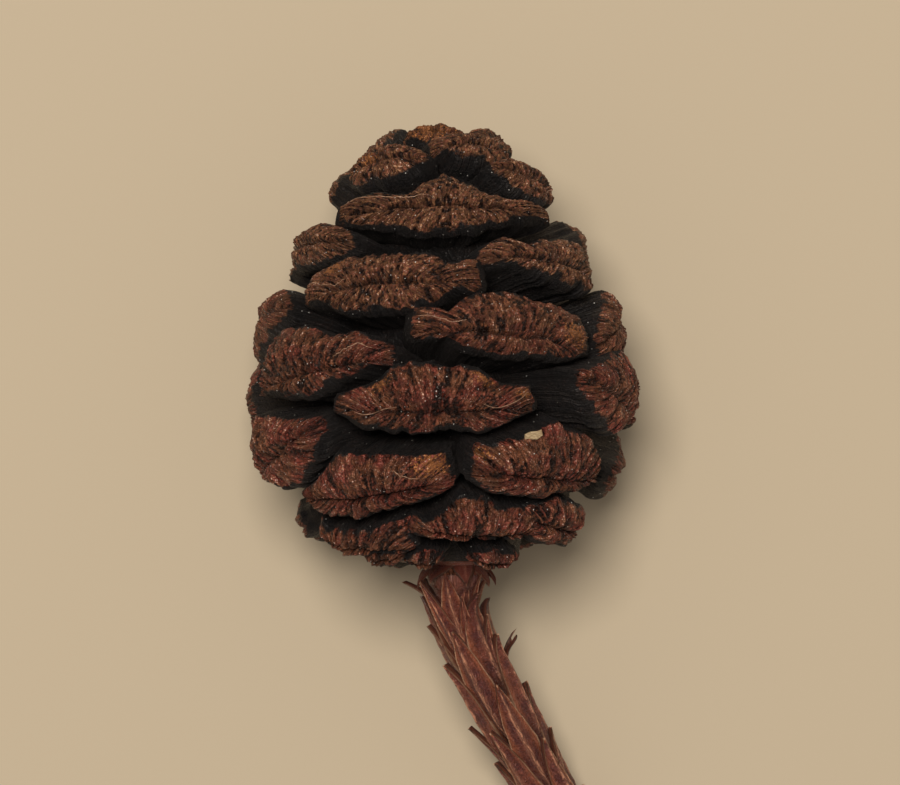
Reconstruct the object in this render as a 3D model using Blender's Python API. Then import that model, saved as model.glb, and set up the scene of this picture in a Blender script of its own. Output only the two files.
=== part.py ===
"""A ripe seed cone of the coast redwood, lying on its side, with the leafy twig that it grew on.

Metres, +Z up. The cone's axis lies level along Y with its tip at +Y, and the origin is on the
floor under the belly, where the cone rests. Azimuths turn round the cone's axis: 0 degrees
faces straight up, and 90 degrees faces +X.
"""

import math
import random

import bmesh
import bpy
import numpy
from mathutils import Matrix, Vector, noise

MM = 0.001

# Driving dimensions of the cone
BELLY_RADIUS = 10.7 * MM
REST_FLAT = 0.6 * MM
AXIS_HEIGHT = BELLY_RADIUS - REST_FLAT

# The outline that the shields follow: mm along the axis, and radius as a share of the belly's
PROFILE = [
    (-10.8, 0.28),
    (-10.4, 0.42),
    (-10.1, 0.51),
    (-9.0, 0.665),
    (-7.5, 0.765),
    (-5.6, 0.875),
    (-3.7, 0.95),
    (-2.0, 0.99),
    (0.0, 1.0),
    (2.0, 0.955),
    (3.5, 0.9),
    (5.0, 0.84),
    (7.2, 0.74),
    (9.2, 0.665),
    (11.0, 0.555),
    (12.3, 0.42),
    (13.2, 0.27),
    (13.9, 0.08),
]

# The scales stand in opposite pairs, numbered from the tip down
FIRST_PAIR = -5
LAST_PAIR = 18
SHIELD_SINK = 0.35 * MM
TILT_SHARE = 0.75
TILT_STEP = 0.8 * MM
MOST_TILT = math.radians(58)

# The front scale of each pair, by its slit: azimuth in degrees, then in mm the height on the axis,
# half the shield's width, its reach above and below the slit, and its roll in degrees
FRONT_SCALES = {
    -5: (-22, 13.3, 1.5, 0.6, 0.8, 5),
    -4: (72, 12.9, 2, 0.9, 1, -15),
    -3: (20, 12.6, 3.1, 1.1, 1.3, -6),
    -2: (-42, 12.0, 2.6, 1.2, 1.2, 18),
    -1: (57, 10.9, 2.5, 1.1, 1.1, -22),
    0: (2, 9.4, 5.6, 1.75, 1.4, 0),
    1: (-69, 7.5, 4.2, 1.2, 1.1, 6),
    2: (49, 6.4, 4.4, 1.5, 1.4, -9),
    3: (-21, 5.3, 4.9, 1.65, 1.5, 5),
    4: (88, 3.3, 4.3, 1.6, 1.5, 14),
    5: (23, 2.6, 5.05, 2.3, 1.4, -6),
    6: (-43, 0.6, 4.85, 2.25, 1.35, 11),
    7: (69, -0.9, 4.15, 2.25, 1.35, -20),
    8: (-2, -1.4, 5.25, 2.6, 1.25, 0),
    9: (-64, -3.9, 4.45, 2.3, 1.35, 22),
    10: (38, -5, 4.4, 2.7, 1.05, -4),
    11: (-25.5, -5.9, 4.55, 2.3, 1.35, 7),
    12: (53, -7.6, 2.9, 1.6, 0.9, -8),
    13: (15, -7.95, 3.5, 2.4, 0.75, -2),
    14: (-36, -8.6, 2.9, 2.05, 0.65, -8),
    15: (27, -9.3, 1.5, 0.7, 0.5, 0),
    16: (-8, -9.4, 1.1, 0.8, 0.4, 0),
    17: (100, -9.7, 1.5, 0.8, 0.5, 4),
    18: (-40, -9.9, 1.4, 0.6, 0.5, -5),
}

# A shield's outline: shares of its reach above and below the slit, at even steps across it
PLAIN_OUTLINE = ((0.42, 0.75, 0.96, 1.0, 0.96, 0.75, 0.42), (0.35, 0.7, 0.9, 0.95, 0.9, 0.7, 0.35))
OUTLINES = {
    -3: ((1.1, 1.0, 1.1, 1.0, 1.0, 1.25, 1.1), (0.3, 0.4, 0.6, 0.9, 0.9, 0.6, 0.3)),
    0: ((0.5, 0.65, 0.4, 1.17, 0.58, 0.36, 0.5), (0.15, 0.42, 0.85, 0.97, 0.75, 0.22, 0.15)),
    2: ((0.3, 0.77, 0.66, 0.9, 1.15, 1.3, 1.0), (0.15, 0.2, 0.45, 0.55, 0.6, 0.55, 0.3)),
    3: ((0.75, 1.08, 1.08, 1.03, 1.05, 0.68, 0.9), (0.15, 0.48, 0.85, 0.92, 0.87, 0.35, 0.15)),
    5: ((0.63, 0.54, 0.97, 0.97, 0.95, 0.88, 0.8), (0.15, 0.25, 0.6, 0.6, 0.56, 0.45, 0.15)),
    6: ((0.95, 1.3, 1.32, 1.18, 0.81, 0.77, 0.4), (0.15, 0.35, 0.65, 0.88, 0.56, 0.2, 0.15)),
    7: ((0.15, 0.52, 1.0, 1.3, 1.35, 1.0, 0.6), (0.45, 0.95, 1.25, 1.35, 0.5, 0.2, 0.15)),
    8: ((0.3, 0.52, 0.97, 0.92, 0.9, 0.55, 0.5), (0.15, 0.75, 0.8, 0.72, 0.68, 0.6, 0.15)),
    9: ((0.6, 1.1, 1.25, 1.0, 0.8, 0.45, 0.2), (0.15, 0.2, 0.6, 1.25, 1.3, 1.1, 0.35)),
    10: ((0.44, 0.56, 0.9, 1.1, 0.95, 0.75, 0.45), (0.45, 0.8, 0.85, 0.83, 0.55, 0.22, 0.15)),
    11: ((0.22, 0.43, 1.05, 1.02, 0.92, 0.7, 0.62), (0.3, 0.65, 0.75, 0.7, 0.55, 0.42, 0.35)),
    13: ((0.3, 0.35, 0.9, 0.96, 0.66, 0.65, 0.55), (0.3, 0.6, 0.3, 0.15, 0.15, 0.2, 0.15)),
    14: ((0.5, 0.42, 0.46, 0.55, 0.66, 0.85, 0.9), (0.5, 0.8, 0.8, 0.62, 0.35, 0.22, 0.15)),
}
LOWER_EDGE = 0.2 * MM

# The scale opposite each one is its like, a little unevenly, with its outline turned round
BACK_SEED = 41
BACK_TURN_JITTER = 4.0
BACK_HEIGHT_JITTER = 0.3 * MM
BACK_SIZE_JITTER = 0.06
BACK_ROLL_JITTER = 8.0

# A scale's shield: its grid, and the slit between its two swollen halves
SHIELD_ACROSS = 8
SMALL_SHIELD_ACROSS = 6
SMALL_SHIELD = 3.3 * MM
SHIELD_RISE = 2
SHIELD_CURVE = 9.5 * MM
UPPER_PUFF = 0.42 * MM
LOWER_PUFF = 0.3 * MM
PUFF_POWER = 0.75
SLIT_DEPTH = 0.32 * MM
SLIT_HALF_SHARE = 0.16
RELIEF_LOST_AT_ENDS = 0.7
SHIELD_END_DROP = 0.3 * MM
RIM_WOBBLE = 0.32 * MM
RIM_WOBBLE_SIZE = 1.6 * MM

# Its thick edge, and the stalk that narrows from there to the cone's axis
EDGE_DEPTH = 0.65 * MM
EDGE_MOST_SHARE = 0.2
ROOT_SHARE = 0.16
ROOT_RADIUS_SHARE = 0.14

# The core that carries the scales, and the neck at its foot
CORE_SHARE = 0.42
CORE_SIDES = 12
CORE_STEPS = 9
CORE_TOP = 12.2 * MM
NECK_Y = -10.1 * MM
NECK_LENGTH = 1.2 * MM
NECK_RADIUS = 1.65 * MM
CORE_LEAST_RADIUS = 1.3 * MM
NECK_SHIFT = 0.85 * MM

# Small pointed bracts in a ring round the neck
BRACT_COUNT = 9
BRACT_START = 0.35
BRACT_LENGTH = 2.2 * MM
BRACT_UNEVEN = 0.15
BRACT_UNEVEN_TURN = 5.0
BRACT_WIDTH = 0.9 * MM
BRACT_TAPER = 0.85
BRACT_THICKNESS = 0.32 * MM
BRACT_RISE = 0.6 * MM
BRACT_DROOP = 0.3
BRACT_SINK_SHARE = 0.55
BRACT_STEPS = 3

# The twig, in mm: the line that it follows from 0.3 mm below the neck to its cut end on the floor
TWIG_LINE = [
    (0.85, -10.4, 10.1),
    (1.05, -12.2, 9.6),
    (1.75, -14.2, 8.65),
    (2.95, -16.6, 7.15),
    (4.25, -19.1, 5.45),
    (5.6, -21.5, 3.75),
    (7.1, -23.9, 2.15),
    (8.6, -26.1, 0.88),
]
STEM_RADIUS = 1.12 * MM
STEM_FLARE = 0.45 * MM
STEM_FLARE_SHARE = 0.16
STEM_SIDES = 10
STEM_STEPS = 18
DIRECTION_STEP = 0.01
LENGTH_STEPS = 60

# Its overlapping pointed leaves, which turn round the twig one after another
LEAF_COUNT = 23
LEAF_TURN = 137.5
LEAF_START = 60.0
LEAF_LENGTH = 8.0 * MM
LEAF_STATIONS = 6
LEAF_HALF_WIDTH = 0.74 * MM
LEAF_KEEL = 0.45 * MM
LEAF_SINK = 0.12 * MM
LEAF_BODY = 0.6 * MM
LEAF_TIP_LIFT = 0.75 * MM
LEAF_TIP_POWER = 5
FIRST_TIP = 0.035
LAST_TIP = 0.93
LEAF_END = 0.99
LEAF_END_STEP = 0.004
LEAF_END_ROUND = 7

# A leaf from its foot to its tip: share of its length, of its half width, and of its keel's height
LEAF_FORM = [
    (0.0, 0.35, 0.35),
    (0.2, 0.8, 0.85),
    (0.5, 1.0, 1.0),
    (0.7, 0.75, 0.9),
    (1.0, 0.08, 0.4),
]

# A block under the floor, wider than the part, that cuts it off level
FLOOR_BLOCK = 100 * MM

# Edges sharper than this stay sharp where the surface is shaded smooth
SHARP_ANGLE = math.radians(35)

FACE_BROWN = (0.085, 0.034, 0.02, 1.0)
TWIG_BROWN = (0.16, 0.06, 0.032, 1.0)


def clear_scene():
    for old in list(bpy.data.objects):
        bpy.data.objects.remove(old, do_unlink=True)


def plain_material(name, colour, roughness):
    material = bpy.data.materials.new(name)
    material.use_nodes = True
    shader = material.node_tree.nodes["Principled BSDF"]
    shader.inputs["Base Color"].default_value = colour
    shader.inputs["Roughness"].default_value = roughness
    shader.inputs["Metallic"].default_value = 0.0
    return material


def new_object(name, shape, collection):
    """An object of a bmesh, its faces turned outwards."""
    bmesh.ops.recalc_face_normals(shape, faces=shape.faces)
    mesh = bpy.data.meshes.new(name)
    shape.to_mesh(mesh)
    shape.free()
    made = bpy.data.objects.new(name, mesh)
    collection.objects.link(made)
    return made


def envelope(y):
    """The cone's outer radius at a height on its axis."""
    heights, shares = zip(*PROFILE)
    return BELLY_RADIUS * float(numpy.interp(y / MM, heights, shares))


def shield_tilt(y):
    """How far a scale at this height leans towards the tip, or towards the foot if negative."""
    lean = math.atan2(envelope(y - TILT_STEP) - envelope(y + TILT_STEP), 2 * TILT_STEP)
    return max(-MOST_TILT, min(MOST_TILT, TILT_SHARE * lean))


def all_scales():
    """Every scale: azimuth, height, half width, reach above and below the slit, roll, outline."""
    draw = random.Random(BACK_SEED)
    placed = []
    for pair in range(FIRST_PAIR, LAST_PAIR + 1):
        azimuth, height, half, above, below, roll = FRONT_SCALES[pair]
        outline = OUTLINES.get(pair, PLAIN_OUTLINE)
        turned = (outline[0][::-1], outline[1][::-1])
        placed.append((azimuth, height * MM, half * MM, above * MM, below * MM, roll, outline))
        size = 1 + draw.uniform(-BACK_SIZE_JITTER, BACK_SIZE_JITTER)
        placed.append(
            (
                azimuth + 180 + draw.uniform(-BACK_TURN_JITTER, BACK_TURN_JITTER),
                height * MM + draw.uniform(-BACK_HEIGHT_JITTER, BACK_HEIGHT_JITTER),
                half * MM * size,
                above * MM * size,
                below * MM * size,
                roll + draw.uniform(-BACK_ROLL_JITTER, BACK_ROLL_JITTER),
                turned,
            )
        )
    return placed


def scale_axes(azimuth, height, roll):
    """The slit's middle, and the directions across, up and out of a scale's shield."""
    turn = math.radians(azimuth)
    tilt = shield_tilt(height)
    radial = Vector((math.sin(turn), 0, math.cos(turn)))
    along = Vector((0, 1, 0))
    across = Vector((math.cos(turn), 0, -math.sin(turn)))
    out = radial * math.cos(tilt) + along * math.sin(tilt)
    up = along * math.cos(tilt) - radial * math.sin(tilt)
    spin = Matrix.Rotation(math.radians(roll), 3, out)
    middle = radial * (envelope(height) - SHIELD_SINK) + along * height
    middle.z += AXIS_HEIGHT
    return middle, spin @ across, spin @ up, out


def rim_reach(s, t, above, below, outline):
    """How far the shield reaches at s across it, on the side of the slit that t is on."""
    stations = [2 * n / (len(outline[0]) - 1) - 1 for n in range(len(outline[0]))]
    if t > 0:
        return above * float(numpy.interp(s, stations, outline[0]))
    return below * float(numpy.interp(s, stations, outline[1])) + LOWER_EDGE


def shield_relief(s, t):
    """How far the shield's face stands out at s across it and t up it, both from -1 to 1."""
    kept = 1 - RELIEF_LOST_AT_ENDS * s * s
    puff = UPPER_PUFF if t > 0 else LOWER_PUFF
    swell = puff * math.sin(math.pi * abs(t) ** PUFF_POWER)
    slit = SLIT_DEPTH * math.exp(-((t / SLIT_HALF_SHARE) ** 2))
    return kept * (swell - slit) - SHIELD_END_DROP * abs(s) ** 3


def rim_wobble(point):
    """A slow unevenness of the rim, the same wherever it is asked for at one point."""
    return RIM_WOBBLE * noise.noise(point / RIM_WOBBLE_SIZE)


def stalk_rings(height):
    """Depth below the shield and share of its size, for each ring of the stalk."""
    root = (1 - ROOT_RADIUS_SHARE) * envelope(height) / math.cos(shield_tilt(height))
    return [(min(EDGE_DEPTH, EDGE_MOST_SHARE * root), 1.0), (root, ROOT_SHARE)]


def scale_shape(azimuth, height, half, above, below, roll, outline):
    """One scale as a closed shape: a gridded shield, rings down its stalk and a root face."""
    middle, across, up, out = scale_axes(azimuth, height, roll)
    shape = bmesh.new()

    def place(u, v, depth):
        fall = (u * u + v * v) / (2 * SHIELD_CURVE)
        return middle + across * u + up * v - out * (fall + depth)

    flat = {}
    grid = {}
    rise = SHIELD_RISE
    wide = SHIELD_ACROSS if half > SMALL_SHIELD else SMALL_SHIELD_ACROSS
    for i in range(wide + 1):
        q = 2 * i / wide - 1
        s = (q + math.sin(math.pi * q / 2)) / 2
        for j in range(-rise, rise + 1):
            t = j / rise
            v = t * rim_reach(s, t, above, below, outline)
            wobble = 1 + rim_wobble(place(half * s, v, 0)) / half
            flat[i, j] = (half * s * wobble, v * wobble)
            grid[i, j] = shape.verts.new(place(*flat[i, j], -shield_relief(s, t)))
    for i in range(wide):
        for j in range(-rise, rise):
            shape.faces.new((grid[i, j], grid[i + 1, j], grid[i + 1, j + 1], grid[i, j + 1]))
    rim = [(i, -rise) for i in range(wide)]
    rim += [(wide, j) for j in range(-rise, rise)]
    rim += [(i, rise) for i in range(wide, 0, -1)]
    rim += [(0, j) for j in range(rise, -rise, -1)]
    ring = [grid[key] for key in rim]
    for depth, share in stalk_rings(height):
        inner = [
            shape.verts.new(place(flat[key][0] * share, flat[key][1] * share, depth))
            for key in rim
        ]
        for a in range(len(rim)):
            b = (a + 1) % len(rim)
            shape.faces.new((ring[b], ring[a], inner[a], inner[b]))
        ring = inner
    shape.faces.new(list(reversed(ring)))
    return shape


def tube_shape(rows):
    """A closed shape through rows of points: its side walls and its two end faces."""
    shape = bmesh.new()
    rings = [[shape.verts.new(point) for point in row] for row in rows]
    for low, high in zip(rings, rings[1:]):
        for n in range(len(low)):
            m = (n + 1) % len(low)
            shape.faces.new((low[n], low[m], high[m], high[n]))
    shape.faces.new(list(reversed(rings[0])))
    shape.faces.new(rings[-1])
    return shape


def circle(centre, side, over, radius, sides):
    """Points of a circle round centre, in the plane of side and over."""
    turns = [2 * math.pi * n / sides for n in range(sides)]
    return [centre + (side * math.cos(a) + over * math.sin(a)) * radius for a in turns]


def core_shape():
    """The core: a flat neck at the foot, a swelling body, and a blunt top."""
    rings = [(NECK_Y, NECK_RADIUS, NECK_SHIFT)]
    low = NECK_Y + NECK_LENGTH
    for n in range(CORE_STEPS):
        y = low + (CORE_TOP - low) * n / (CORE_STEPS - 1)
        shift = NECK_SHIFT * max(0.0, y / NECK_Y) ** 3
        rings.append((y, max(CORE_LEAST_RADIUS, CORE_SHARE * envelope(y)), shift))
    rows = []
    for y, radius, shift in rings:
        centre = Vector((shift, y, AXIS_HEIGHT))
        rows.append(circle(centre, Vector((1, 0, 0)), Vector((0, 0, 1)), radius, CORE_SIDES))
    return tube_shape(rows)


def bract_shape(number):
    """One bract at the cone's foot, pointing down and outwards from the neck."""
    turn = 2 * math.pi * (number + BRACT_START) / BRACT_COUNT
    radial = Vector((math.sin(turn), 0, math.cos(turn)))
    side = Vector((math.cos(turn), 0, -math.sin(turn)))
    over = Vector((0, -BRACT_THICKNESS, 0))
    foot = Vector((NECK_SHIFT, NECK_Y + BRACT_RISE, AXIS_HEIGHT))
    foot += radial * NECK_RADIUS * BRACT_SINK_SHARE
    reach = BRACT_LENGTH * (1 + BRACT_UNEVEN * math.sin(BRACT_UNEVEN_TURN * number))
    stations = []
    for n in range(BRACT_STEPS + 1):
        w = n / BRACT_STEPS
        spine = foot + (radial - Vector((0, BRACT_DROOP, 0))) * reach * w
        half = side * BRACT_WIDTH * (1 - BRACT_TAPER * w)
        stations.append((spine - half, spine + over, spine + half, spine - over))
    return tube_shape(stations)


def smooth_line(points, share):
    """The point at share, from 0 to 1, of a smooth curve through points."""
    last = len(points) - 1
    place = min(max(share, 0.0), 1.0) * last
    n = min(int(place), last - 1)
    w = place - n
    p0 = points[max(n - 1, 0)]
    p1 = points[n]
    p2 = points[n + 1]
    p3 = points[min(n + 2, last)]
    bend = (p0 * 2 - p1 * 5 + p2 * 4 - p3) * w**2
    twist = ((p1 - p2) * 3 + p3 - p0) * w**3
    return p1 + ((p2 - p0) * w + bend + twist) * 0.5


def twig_frame(share):
    """The twig's centre, its direction away from the cone, and two directions square to it."""
    points = [Vector(p) * MM for p in TWIG_LINE]
    ahead = smooth_line(points, min(share + DIRECTION_STEP, 1.0))
    behind = smooth_line(points, max(share - DIRECTION_STEP, 0.0))
    along = (ahead - behind).normalized()
    side = Vector((0, 0, 1)).cross(along).normalized()
    return smooth_line(points, share), along, side, along.cross(side).normalized()


def twig_length():
    points = [twig_frame(n / LENGTH_STEPS)[0] for n in range(LENGTH_STEPS + 1)]
    return sum((b - a).length for a, b in zip(points, points[1:]))


def stem_radius(share):
    """The bare stem's radius: it flares where it meets the cone."""
    return STEM_RADIUS + STEM_FLARE * max(0.0, 1 - share / STEM_FLARE_SHARE) ** 2


def stem_shape():
    """The bare stem, its first face square to the cone's axis like the neck that it meets."""
    first = twig_frame(0)[0]
    rows = [circle(first, Vector((1, 0, 0)), Vector((0, 0, 1)), stem_radius(0), STEM_SIDES)]
    for n in range(1, STEM_STEPS + 1):
        share = n / STEM_STEPS
        centre, _, side, over = twig_frame(share)
        rows.append(circle(centre, side, over, stem_radius(share), STEM_SIDES))
    return tube_shape(rows)


def leaf_shape(number, length):
    """One leaf: its foot runs down along the stem, and its sharp tip stands free near the cone."""
    tip_share = FIRST_TIP + (LAST_TIP - FIRST_TIP) * number / (LEAF_COUNT - 1)
    reach = LEAF_LENGTH / length
    turn = math.radians(LEAF_START + LEAF_TURN * number)
    end = LEAF_END - LEAF_END_STEP * (number % LEAF_END_ROUND)
    first = max(0.0, 1 - (end - tip_share) / reach)
    places, widths, keels = zip(*LEAF_FORM)
    stations = []
    for n in range(LEAF_STATIONS):
        w = first + (1 - first) * n / (LEAF_STATIONS - 1)
        share = tip_share + reach * (1 - w)
        centre, along, side, over = twig_frame(share)
        arm = side * math.cos(turn) + over * math.sin(turn)
        half = arm.cross(along) * LEAF_HALF_WIDTH * float(numpy.interp(w, places, widths))
        keel = arm * LEAF_KEEL * float(numpy.interp(w, places, keels))
        lift = stem_radius(share) - LEAF_SINK + LEAF_TIP_LIFT * w**LEAF_TIP_POWER
        spine = centre + arm * lift
        stations.append((spine - half, spine + keel, spine + half, spine - arm * LEAF_BODY))
    return tube_shape(stations)


def apply_modifiers(body):
    """Puts the mesh that the body's modifiers give in place of its own."""
    bpy.context.view_layer.update()
    seen = body.evaluated_get(bpy.context.evaluated_depsgraph_get())
    made = bpy.data.meshes.new_from_object(seen)
    body.modifiers.clear()
    body.data = made


def join(body, pieces):
    """Fuses every object of a collection into body, and removes the collection's objects."""
    union = body.modifiers.new("join", "BOOLEAN")
    union.operation = "UNION"
    union.operand_type = "COLLECTION"
    union.collection = pieces
    union.solver = "EXACT"
    apply_modifiers(body)
    for old in list(pieces.objects):
        bpy.data.objects.remove(old, do_unlink=True)
    bpy.data.collections.remove(pieces)


def cut_level(body):
    """Cuts a body off level at the floor, which leaves the small flat spots that it rests on."""
    block = bmesh.new()
    size = Matrix.Scale(FLOOR_BLOCK, 4)
    bmesh.ops.create_cube(block, size=1.0, matrix=size)
    bmesh.ops.translate(block, verts=block.verts, vec=(0, 0, -FLOOR_BLOCK / 2))
    cutter = new_object("floor_cutter", block, bpy.context.scene.collection)
    cut = body.modifiers.new("floor", "BOOLEAN")
    cut.operation = "DIFFERENCE"
    cut.object = cutter
    cut.solver = "EXACT"
    apply_modifiers(body)
    bpy.data.objects.remove(cutter, do_unlink=True)


def build_node(name, body_shape, piece_shapes, material):
    """One node: its body with its repeats fused into it, level at the floor."""
    scene = bpy.context.scene.collection
    body = new_object(name, body_shape, scene)
    pieces = bpy.data.collections.new(name + "_pieces")
    scene.children.link(pieces)
    for number, shape in enumerate(piece_shapes):
        new_object(f"{name}_piece_{number}", shape, pieces)
    join(body, pieces)
    cut_level(body)
    body.data.materials.clear()
    body.data.materials.append(material)
    body.data.shade_smooth()
    body.data.set_sharp_from_angle(angle=SHARP_ANGLE)


def build_cone():
    pieces = [scale_shape(*values) for values in all_scales()]
    pieces += [bract_shape(number) for number in range(BRACT_COUNT)]
    build_node("seed_cone", core_shape(), pieces, plain_material("cone_wood", FACE_BROWN, 0.8))


def build_twig():
    length = twig_length()
    pieces = [leaf_shape(number, length) for number in range(LEAF_COUNT)]
    build_node("leafy_twig", stem_shape(), pieces, plain_material("twig_bark", TWIG_BROWN, 0.65))


clear_scene()
build_cone()
build_twig()
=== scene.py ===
# %% [markdown]
# # A coast redwood cone on its twig
#
# The object is a ripe seed cone that lies on its side, with the leafy twig that it grew on.
# The measured model holds its plain solids. This lesson lays a finely shaped surface over them,
# gives each surface its finish, and sets a camera and a soft light. First the model is loaded.

# %% Load the measured model
import math
import random

import bpy
import numpy
from mathutils import Matrix, Vector, noise


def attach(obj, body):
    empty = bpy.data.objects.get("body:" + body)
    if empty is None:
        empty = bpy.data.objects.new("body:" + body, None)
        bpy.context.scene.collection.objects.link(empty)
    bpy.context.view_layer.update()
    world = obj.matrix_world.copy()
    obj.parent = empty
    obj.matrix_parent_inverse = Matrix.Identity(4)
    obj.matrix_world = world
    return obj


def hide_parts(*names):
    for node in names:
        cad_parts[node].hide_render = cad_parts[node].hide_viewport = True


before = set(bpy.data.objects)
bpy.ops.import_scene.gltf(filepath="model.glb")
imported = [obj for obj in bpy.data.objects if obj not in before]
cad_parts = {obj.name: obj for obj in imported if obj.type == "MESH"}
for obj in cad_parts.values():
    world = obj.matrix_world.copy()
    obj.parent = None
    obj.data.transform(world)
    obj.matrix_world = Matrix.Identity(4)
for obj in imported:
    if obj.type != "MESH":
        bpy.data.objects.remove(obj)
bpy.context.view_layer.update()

# %% [markdown]
# ## The shared measurements
#
# Every length here is in metres, so a millimetre gets a name of its own. The cone's axis lies
# along Y with its tip at +Y, and azimuth 0 on the cone looks straight up. They are the values that
# the solids were made from, so that the fine surface follows them. Only the smallest scales, at
# the tip and the foot, are set a little closer in than in the solids.

# %% Measurements of the cone
mm = 0.001
belly_radius = 10.7 * mm
axis_height = 10.1 * mm
outline_heights = (-10.8, -10.4, -10.1, -9.0, -7.5, -5.6, -3.7, -2.0, 0.0, 2.0, 3.5, 5.0, 7.2, 9.2, 11.0,
                   12.3, 13.2, 13.9)
outline_shares = (0.28, 0.42, 0.51, 0.665, 0.765, 0.875, 0.95, 0.99, 1.0,
                  0.955, 0.9, 0.84, 0.74, 0.665, 0.555, 0.42, 0.27, 0.08)
shield_sink = 0.35 * mm
shield_curve = 9.5 * mm
lean_share = 0.75
lean_step = 0.8 * mm
most_lean = math.radians(58)

# For each pair of scales, the one in view: azimuth, height, half width, reach above and below, roll
front_scales = {
    -5: (-5, 13.3, 1.8, 0.6, 0.7, -4),
    -4: (72, 12.9, 2, 0.9, 1, -15),
    -3: (31, 12.6, 2.4, 0.95, 1.0, -4),
    -2: (-40, 11.8, 2.55, 1.05, 1.05, 14),
    -1: (57, 10.9, 2.5, 1.1, 1.1, -22),
    0: (2, 9.4, 5.6, 1.75, 1.4, 0),
    1: (-68, 7.4, 3.9, 1.2, 1.1, 6),
    2: (49, 6.4, 4.4, 1.5, 1.4, -9),
    3: (-21, 5.3, 4.9, 1.65, 1.5, 5),
    4: (88, 3.3, 4.3, 1.6, 1.5, 14),
    5: (23, 2.6, 5.05, 2.3, 1.4, -6),
    6: (-43, 0.6, 4.85, 2.25, 1.35, 11),
    7: (69, -0.9, 4.15, 2.25, 1.35, -20),
    8: (-2, -1.4, 5.25, 2.6, 1.25, 0),
    9: (-64, -3.9, 4.45, 2.3, 1.35, 22),
    10: (38, -5, 4.4, 2.7, 1.05, -4),
    11: (-25.5, -5.9, 4.55, 2.3, 1.35, 7),
    12: (53, -7.6, 2.9, 1.6, 0.9, -8),
    13: (15, -7.95, 3.5, 2.4, 0.75, -2),
    14: (-36, -8.6, 2.9, 2.05, 0.65, -8),
    15: (27, -9.3, 1.5, 0.7, 0.5, 0),
    16: (-8, -9.35, 1.1, 0.8, 0.4, 0),
    17: (150, -9.3, 1.4, 0.7, 0.5, 4),
}

# Outlines of the faces: hundredths of the reach above and below the slit, at even steps across
plain_outline = ((42, 75, 96, 100, 96, 75, 42), (35, 70, 90, 95, 90, 70, 35))
outlines = {
    -3: ((110, 100, 110, 100, 100, 125, 110), (30, 40, 60, 90, 90, 60, 30)),
    0: ((50, 65, 40, 117, 58, 36, 50), (15, 42, 85, 97, 75, 22, 15)),
    2: ((30, 77, 66, 90, 115, 130, 100), (15, 20, 45, 55, 60, 55, 30)),
    3: ((75, 108, 108, 103, 105, 68, 90), (15, 48, 85, 92, 87, 35, 15)),
    5: ((63, 54, 97, 97, 95, 88, 80), (15, 25, 60, 60, 56, 45, 15)),
    6: ((95, 130, 132, 118, 81, 77, 40), (15, 35, 65, 88, 56, 20, 15)),
    7: ((15, 52, 100, 130, 135, 100, 60), (45, 95, 125, 135, 50, 20, 15)),
    8: ((30, 52, 97, 92, 90, 55, 50), (15, 75, 80, 72, 68, 60, 15)),
    9: ((60, 110, 125, 100, 80, 45, 20), (15, 20, 60, 125, 130, 110, 35)),
    10: ((44, 56, 90, 110, 95, 75, 45), (45, 80, 85, 83, 55, 22, 15)),
    11: ((22, 43, 105, 102, 92, 70, 62), (30, 65, 75, 70, 55, 42, 35)),
    13: ((30, 35, 90, 96, 66, 65, 55), (30, 60, 30, 15, 15, 20, 15)),
    14: ((50, 42, 46, 55, 66, 85, 90), (50, 80, 80, 62, 35, 22, 15)),
}
print("pairs of scales", len(front_scales), "with an outline of their own", len(outlines))

# %% [markdown]
# ## The camera
#
# The cone is looked at from straight above. It could be framed by moving the camera nearer, but
# a long lens from further off bends the shape less. The lens is chosen so that the picture's width
# covers 48 mm at the height of the cone's axis.

# %% Camera
picture_width = 900
cone_length, cone_pixels = 24.0 * mm, 450
pixel = cone_length / cone_pixels
camera_distance = 0.35
aim_right, aim_down = 10 * pixel, 7.5 * pixel
camera_data = bpy.data.cameras.new("camera")
camera_data.sensor_width = 36.0
camera_data.lens = camera_data.sensor_width * camera_distance / (picture_width * pixel)
camera_data.clip_start = 0.01
camera = bpy.data.objects.new("camera", camera_data)
camera.location = (aim_right, -aim_down, axis_height + camera_distance)
bpy.context.scene.collection.objects.link(camera)
bpy.context.scene.camera = camera
print("lens in mm", round(camera_data.lens, 1))

# %% [markdown]
# ## The floor and the light
#
# The floor is plain and pale, so that nothing but the cone is looked at. The light is one broad
# soft lamp high to the upper left, with a weak warm light from all round that fills the shadows.


# %% Floor and lights
def lamp(name, place, size, power, colour):
    data = bpy.data.lights.new(name, "AREA")
    data.shape = "DISK"
    data.size = size
    data.energy = power
    data.color = colour
    made = bpy.data.objects.new(name, data)
    made.location = place
    made.rotation_euler = (Vector((0, 0, axis_height)) - made.location).to_track_quat("-Z", "Y").to_euler()
    bpy.context.scene.collection.objects.link(made)
    return made


key_place, key_size, key_power, key_colour = (-0.035, 0.075, 0.42), 0.14, 1.75, (1.0, 0.98, 0.94)
lamp("soft_key", key_place, key_size, key_power, key_colour)

world = bpy.data.worlds.new("room")
world.use_nodes = True
room_light = world.node_tree.nodes["Background"]
room_light.inputs["Color"].default_value = (1.0, 0.97, 0.93, 1.0)
room_light.inputs["Strength"].default_value = 0.34
bpy.context.scene.world = world
bpy.context.scene.view_settings.view_transform = "Standard"

floor_material = bpy.data.materials.new("pale_floor")
floor_material.use_nodes = True
floor_shader = floor_material.node_tree.nodes["Principled BSDF"]
floor_shader.inputs["Base Color"].default_value = (0.45, 0.357, 0.243, 1.0)
floor_shader.inputs["Roughness"].default_value = 0.9
floor_size = 1.2
bpy.ops.mesh.primitive_plane_add(size=floor_size, location=(0, 0, 0))
floor = bpy.context.object
floor.name = "pale_floor"
floor.data.materials.append(floor_material)

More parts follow.
